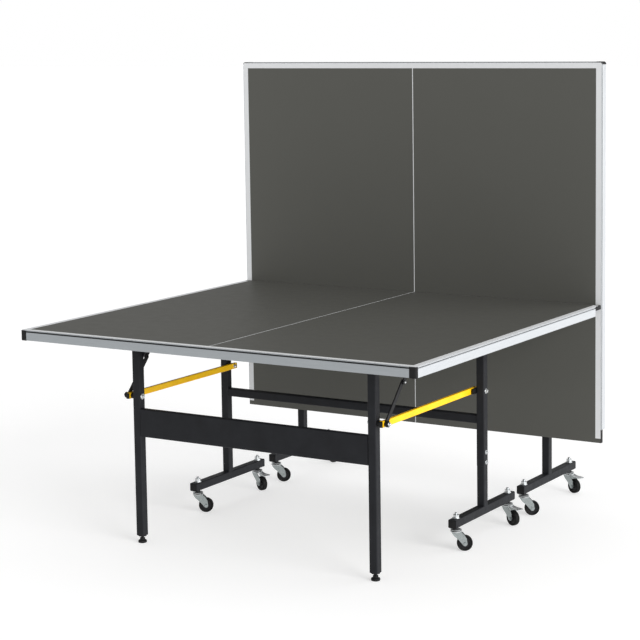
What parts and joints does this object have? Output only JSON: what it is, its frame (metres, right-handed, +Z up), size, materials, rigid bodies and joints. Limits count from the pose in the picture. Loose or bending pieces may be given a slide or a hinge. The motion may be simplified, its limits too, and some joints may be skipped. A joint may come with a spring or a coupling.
{
  "type": "table tennis table",
  "caption": "Movable folding table tennis table: wheeled halves, one laid flat for play and one tipped up as a rebound wall, with folding legs.",
  "frame": {"origin": "on the floor under the centre of the table's bounding box", "axes": "+Z up, +Y from the flat front half towards the upright rear half, X across the table"},
  "size_m": [1.525, 1.635, 1.626],
  "materials": {
    "board_paint": "matt dark grey painted board",
    "aluminium": "clear anodised extrusion",
    "frame_paint": "charcoal powder coat",
    "strut_paint": "yellow powder coat",
    "stay_steel": "black coated steel strip",
    "zinc": "bright zinc plate",
    "wheel_rubber": "black caster tread",
    "foot_plastic": "black moulded plastic"
  },
  "bodies": {
    "front_trolley": {"front_trolley_frame": "frame_paint", "front_base_left": "frame_paint", "front_base_right": "frame_paint"},
    "front_top": {"front_tabletop": "board_paint", "front_apron_end": "aluminium", "front_apron_left": "aluminium", "front_apron_right": "aluminium", "front_side_rail_left": "frame_paint", "front_side_rail_right": "frame_paint"},
    "front_legs": {"front_leg_frame": "frame_paint", "front_leg_panel": "frame_paint"},
    "front_foot_left": {"front_foot_left": "foot_plastic"},
    "front_foot_right": {"front_foot_right": "foot_plastic"},
    "front_strut_left": {"front_strut_left": "strut_paint"},
    "front_strut_right": {"front_strut_right": "strut_paint"},
    "front_stay_lower_left": {"front_stay_lower_left": "stay_steel"},
    "front_stay_lower_right": {"front_stay_lower_right": "stay_steel"},
    "front_stay_upper_left": {"front_stay_upper_left": "stay_steel"},
    "front_stay_upper_right": {"front_stay_upper_right": "stay_steel"},
    "front_plain_fork_left": {"front_plain_fork_left": "zinc"},
    "front_plain_fork_right": {"front_plain_fork_right": "zinc"},
    "front_plain_wheel_left": {"front_plain_wheel_left": "wheel_rubber"},
    "front_plain_wheel_right": {"front_plain_wheel_right": "wheel_rubber"},
    "front_braked_fork_left": {"front_braked_fork_left": "zinc"},
    "front_braked_fork_right": {"front_braked_fork_right": "zinc"},
    "front_braked_wheel_left": {"front_braked_wheel_left": "wheel_rubber"},
    "front_braked_wheel_right": {"front_braked_wheel_right": "wheel_rubber"},
    "front_brake_pedal_left": {"front_braked_brake_pedal_left": "zinc"},
    "front_brake_pedal_right": {"front_braked_brake_pedal_right": "zinc"},
    "rear_trolley": {"rear_trolley_frame": "frame_paint", "rear_base_left": "frame_paint", "rear_base_right": "frame_paint"},
    "rear_top": {"rear_tabletop": "board_paint", "rear_apron_end": "aluminium", "rear_apron_left": "aluminium", "rear_apron_right": "aluminium", "rear_side_rail_left": "frame_paint", "rear_side_rail_right": "frame_paint"},
    "rear_legs": {"rear_leg_frame": "frame_paint", "rear_leg_panel": "frame_paint"},
    "rear_foot_left": {"rear_foot_left": "foot_plastic"},
    "rear_foot_right": {"rear_foot_right": "foot_plastic"},
    "rear_strut_left": {"rear_strut_left": "strut_paint"},
    "rear_strut_right": {"rear_strut_right": "strut_paint"},
    "rear_stay_lower_left": {"rear_stay_lower_left": "stay_steel"},
    "rear_stay_lower_right": {"rear_stay_lower_right": "stay_steel"},
    "rear_stay_upper_left": {"rear_stay_upper_left": "stay_steel"},
    "rear_stay_upper_right": {"rear_stay_upper_right": "stay_steel"},
    "rear_plain_fork_left": {"rear_plain_fork_left": "zinc"},
    "rear_plain_fork_right": {"rear_plain_fork_right": "zinc"},
    "rear_plain_wheel_left": {"rear_plain_wheel_left": "wheel_rubber"},
    "rear_plain_wheel_right": {"rear_plain_wheel_right": "wheel_rubber"},
    "rear_braked_fork_left": {"rear_braked_fork_left": "zinc"},
    "rear_braked_fork_right": {"rear_braked_fork_right": "zinc"},
    "rear_braked_wheel_left": {"rear_braked_wheel_left": "wheel_rubber"},
    "rear_braked_wheel_right": {"rear_braked_wheel_right": "wheel_rubber"},
    "rear_brake_pedal_left": {"rear_braked_brake_pedal_left": "zinc"},
    "rear_brake_pedal_right": {"rear_braked_brake_pedal_right": "zinc"}
  },
  "joints": [
    {"name": "front_fold", "type": "hinge", "parent": "front_trolley", "child": "front_top", "pos_m": [0, 0.0745, 0.734], "axis": [-1, 0, 0], "range_deg": [0, 90]},
    {"name": "front_legs_swing", "type": "hinge", "parent": "front_top", "child": "front_legs", "pos_m": [0, -0.5505, 0.734], "axis": [1, 0, 0], "range_deg": [0, 90]},
    {"name": "front_strut_swing_left", "type": "hinge", "parent": "front_trolley", "child": "front_strut_left", "pos_m": [-0.5, 0.0655, 0.514], "axis": [-1, 0, 0], "range_deg": [0, 90]},
    {"name": "front_strut_swing_right", "type": "hinge", "parent": "front_trolley", "child": "front_strut_right", "pos_m": [0.5, 0.0655, 0.514], "axis": [-1, 0, 0], "range_deg": [0, 90]},
    {"name": "front_stay_lower_swing_left", "type": "hinge", "parent": "front_legs", "child": "front_stay_lower_left", "pos_m": [-0.509, -0.5595, 0.514], "axis": [1, 0, 0], "range_deg": [0, 43.33]},
    {"name": "front_stay_lower_swing_right", "type": "hinge", "parent": "front_legs", "child": "front_stay_lower_right", "pos_m": [0.509, -0.5595, 0.514], "axis": [1, 0, 0], "range_deg": [0, 43.33]},
    {"name": "front_stay_upper_swing_left", "type": "hinge", "parent": "front_top", "child": "front_stay_upper_left", "pos_m": [-0.5135, -0.3605, 0.725], "axis": [-1, 0, 0], "range_deg": [0, 46.68]},
    {"name": "front_stay_upper_swing_right", "type": "hinge", "parent": "front_top", "child": "front_stay_upper_right", "pos_m": [0.5135, -0.3605, 0.725], "axis": [-1, 0, 0], "range_deg": [0, 46.68]},
    {"name": "front_foot_turn_left", "type": "hinge", "parent": "front_legs", "child": "front_foot_left", "pos_m": [-0.465, -0.5595, 0], "axis": [0, 0, 1], "continuous": true},
    {"name": "front_foot_turn_right", "type": "hinge", "parent": "front_legs", "child": "front_foot_right", "pos_m": [0.465, -0.5595, 0], "axis": [0, 0, 1], "continuous": true},
    {"name": "front_plain_caster_swivel_left", "type": "hinge", "parent": "front_trolley", "child": "front_plain_fork_left", "pos_m": [-0.532, -0.1315, 0.083], "axis": [0, 0, 1], "continuous": true},
    {"name": "front_plain_caster_swivel_right", "type": "hinge", "parent": "front_trolley", "child": "front_plain_fork_right", "pos_m": [0.532, -0.1315, 0.083], "axis": [0, 0, 1], "continuous": true},
    {"name": "front_braked_caster_swivel_left", "type": "hinge", "parent": "front_trolley", "child": "front_braked_fork_left", "pos_m": [-0.532, 0.2625, 0.083], "axis": [0, 0, 1], "continuous": true},
    {"name": "front_braked_caster_swivel_right", "type": "hinge", "parent": "front_trolley", "child": "front_braked_fork_right", "pos_m": [0.532, 0.2625, 0.083], "axis": [0, 0, 1], "continuous": true},
    {"name": "front_plain_wheel_spin_left", "type": "hinge", "parent": "front_plain_fork_left", "child": "front_plain_wheel_left", "pos_m": [-0.50741, -0.11613, 0.027], "axis": [-0.5299, 0.848, 0], "continuous": true},
    {"name": "front_plain_wheel_spin_right", "type": "hinge", "parent": "front_plain_fork_right", "child": "front_plain_wheel_right", "pos_m": [0.55659, -0.11613, 0.027], "axis": [-0.5299, 0.848, 0], "continuous": true},
    {"name": "front_braked_wheel_spin_left", "type": "hinge", "parent": "front_braked_fork_left", "child": "front_braked_wheel_left", "pos_m": [-0.50531, 0.25117, 0.027], "axis": [0.3907, 0.9205, 0], "continuous": true},
    {"name": "front_braked_wheel_spin_right", "type": "hinge", "parent": "front_braked_fork_right", "child": "front_braked_wheel_right", "pos_m": [0.5587, 0.25117, 0.027], "axis": [0.3907, 0.9205, 0], "continuous": true},
    {"name": "front_pedal_press_left", "type": "hinge", "parent": "front_braked_fork_left", "child": "front_brake_pedal_left", "pos_m": [-0.52464, 0.25937, 0.066], "axis": [0.3907, 0.9205, 0], "range_deg": [0, 8]},
    {"name": "front_pedal_press_right", "type": "hinge", "parent": "front_braked_fork_right", "child": "front_brake_pedal_right", "pos_m": [0.53936, 0.25937, 0.066], "axis": [0.3907, 0.9205, 0], "range_deg": [0, 8]},
    {"name": "rear_roll", "type": "slide", "parent": "front_trolley", "child": "rear_trolley", "axis": [0, 1, 0], "range_m": [0, 0.5]},
    {"name": "rear_unfold", "type": "hinge", "parent": "rear_trolley", "child": "rear_top", "pos_m": [0, 0.5835, 0.734], "axis": [-1, 0, 0], "range_deg": [0, 90]},
    {"name": "rear_legs_swing", "type": "hinge", "parent": "rear_top", "child": "rear_legs", "pos_m": [0, 0.5835, 1.359], "axis": [1, 0, 0], "range_deg": [0, 90]},
    {"name": "rear_strut_swing_left", "type": "hinge", "parent": "rear_trolley", "child": "rear_strut_left", "pos_m": [-0.5, 0.5925, 0.514], "axis": [-1, 0, 0], "range_deg": [0, 90]},
    {"name": "rear_strut_swing_right", "type": "hinge", "parent": "rear_trolley", "child": "rear_strut_right", "pos_m": [0.5, 0.5925, 0.514], "axis": [-1, 0, 0], "range_deg": [0, 90]},
    {"name": "rear_stay_lower_swing_left", "type": "hinge", "parent": "rear_legs", "child": "rear_stay_lower_left", "pos_m": [-0.509, 0.5925, 1.139], "axis": [1, 0, 0], "range_deg": [0, 43.33]},
    {"name": "rear_stay_lower_swing_right", "type": "hinge", "parent": "rear_legs", "child": "rear_stay_lower_right", "pos_m": [0.509, 0.5925, 1.139], "axis": [1, 0, 0], "range_deg": [0, 43.33]},
    {"name": "rear_stay_upper_swing_left", "type": "hinge", "parent": "rear_top", "child": "rear_stay_upper_left", "pos_m": [-0.5135, 0.5925, 1.169], "axis": [-1, 0, 0], "range_deg": [0, 46.68]},
    {"name": "rear_stay_upper_swing_right", "type": "hinge", "parent": "rear_top", "child": "rear_stay_upper_right", "pos_m": [0.5135, 0.5925, 1.169], "axis": [-1, 0, 0], "range_deg": [0, 46.68]},
    {"name": "rear_foot_turn_left", "type": "hinge", "parent": "rear_legs", "child": "rear_foot_left", "pos_m": [-0.465, 0.5925, 0.625], "axis": [0, 0, 1], "continuous": true},
    {"name": "rear_foot_turn_right", "type": "hinge", "parent": "rear_legs", "child": "rear_foot_right", "pos_m": [0.465, 0.5925, 0.625], "axis": [0, 0, 1], "continuous": true},
    {"name": "rear_plain_caster_swivel_left", "type": "hinge", "parent": "rear_trolley", "child": "rear_plain_fork_left", "pos_m": [-0.532, 0.3955, 0.083], "axis": [0, 0, 1], "continuous": true},
    {"name": "rear_plain_caster_swivel_right", "type": "hinge", "parent": "rear_trolley", "child": "rear_plain_fork_right", "pos_m": [0.532, 0.3955, 0.083], "axis": [0, 0, 1], "continuous": true},
    {"name": "rear_braked_caster_swivel_left", "type": "hinge", "parent": "rear_trolley", "child": "rear_braked_fork_left", "pos_m": [-0.532, 0.7895, 0.083], "axis": [0, 0, 1], "continuous": true},
    {"name": "rear_braked_caster_swivel_right", "type": "hinge", "parent": "rear_trolley", "child": "rear_braked_fork_right", "pos_m": [0.532, 0.7895, 0.083], "axis": [0, 0, 1], "continuous": true},
    {"name": "rear_plain_wheel_spin_left", "type": "hinge", "parent": "rear_plain_fork_left", "child": "rear_plain_wheel_left", "pos_m": [-0.50741, 0.41087, 0.027], "axis": [-0.5299, 0.848, 0], "continuous": true},
    {"name": "rear_plain_wheel_spin_right", "type": "hinge", "parent": "rear_plain_fork_right", "child": "rear_plain_wheel_right", "pos_m": [0.55659, 0.41087, 0.027], "axis": [-0.5299, 0.848, 0], "continuous": true},
    {"name": "rear_braked_wheel_spin_left", "type": "hinge", "parent": "rear_braked_fork_left", "child": "rear_braked_wheel_left", "pos_m": [-0.50531, 0.77817, 0.027], "axis": [0.3907, 0.9205, 0], "continuous": true},
    {"name": "rear_braked_wheel_spin_right", "type": "hinge", "parent": "rear_braked_fork_right", "child": "rear_braked_wheel_right", "pos_m": [0.5587, 0.77817, 0.027], "axis": [0.3907, 0.9205, 0], "continuous": true},
    {"name": "rear_pedal_press_left", "type": "hinge", "parent": "rear_braked_fork_left", "child": "rear_brake_pedal_left", "pos_m": [-0.52464, 0.78637, 0.066], "axis": [0.3907, 0.9205, 0], "range_deg": [0, 8]},
    {"name": "rear_pedal_press_right", "type": "hinge", "parent": "rear_braked_fork_right", "child": "rear_brake_pedal_right", "pos_m": [0.53936, 0.78637, 0.066], "axis": [0.3907, 0.9205, 0], "range_deg": [0, 8]}
  ],
  "couplings": [
    {"joint": "front_legs_swing", "follows": "front_fold", "ratio": 1},
    {"joint": "front_strut_swing_left", "follows": "front_fold", "ratio": 1},
    {"joint": "front_strut_swing_right", "follows": "front_fold", "ratio": 1},
    {"joint": "front_stay_lower_swing_left", "follows": "front_fold", "ratio": 0.48137},
    {"joint": "front_stay_lower_swing_right", "follows": "front_fold", "ratio": 0.48137},
    {"joint": "front_stay_upper_swing_left", "follows": "front_fold", "ratio": 0.51863},
    {"joint": "front_stay_upper_swing_right", "follows": "front_fold", "ratio": 0.51863},
    {"joint": "rear_roll", "follows": "rear_unfold", "m_per_rad": 0.3183},
    {"joint": "rear_legs_swing", "follows": "rear_unfold", "ratio": 1},
    {"joint": "rear_strut_swing_left", "follows": "rear_unfold", "ratio": 1},
    {"joint": "rear_strut_swing_right", "follows": "rear_unfold", "ratio": 1},
    {"joint": "rear_stay_lower_swing_left", "follows": "rear_unfold", "ratio": 0.48137},
    {"joint": "rear_stay_lower_swing_right", "follows": "rear_unfold", "ratio": 0.48137},
    {"joint": "rear_stay_upper_swing_left", "follows": "rear_unfold", "ratio": 0.51863},
    {"joint": "rear_stay_upper_swing_right", "follows": "rear_unfold", "ratio": 0.51863}
  ]
}
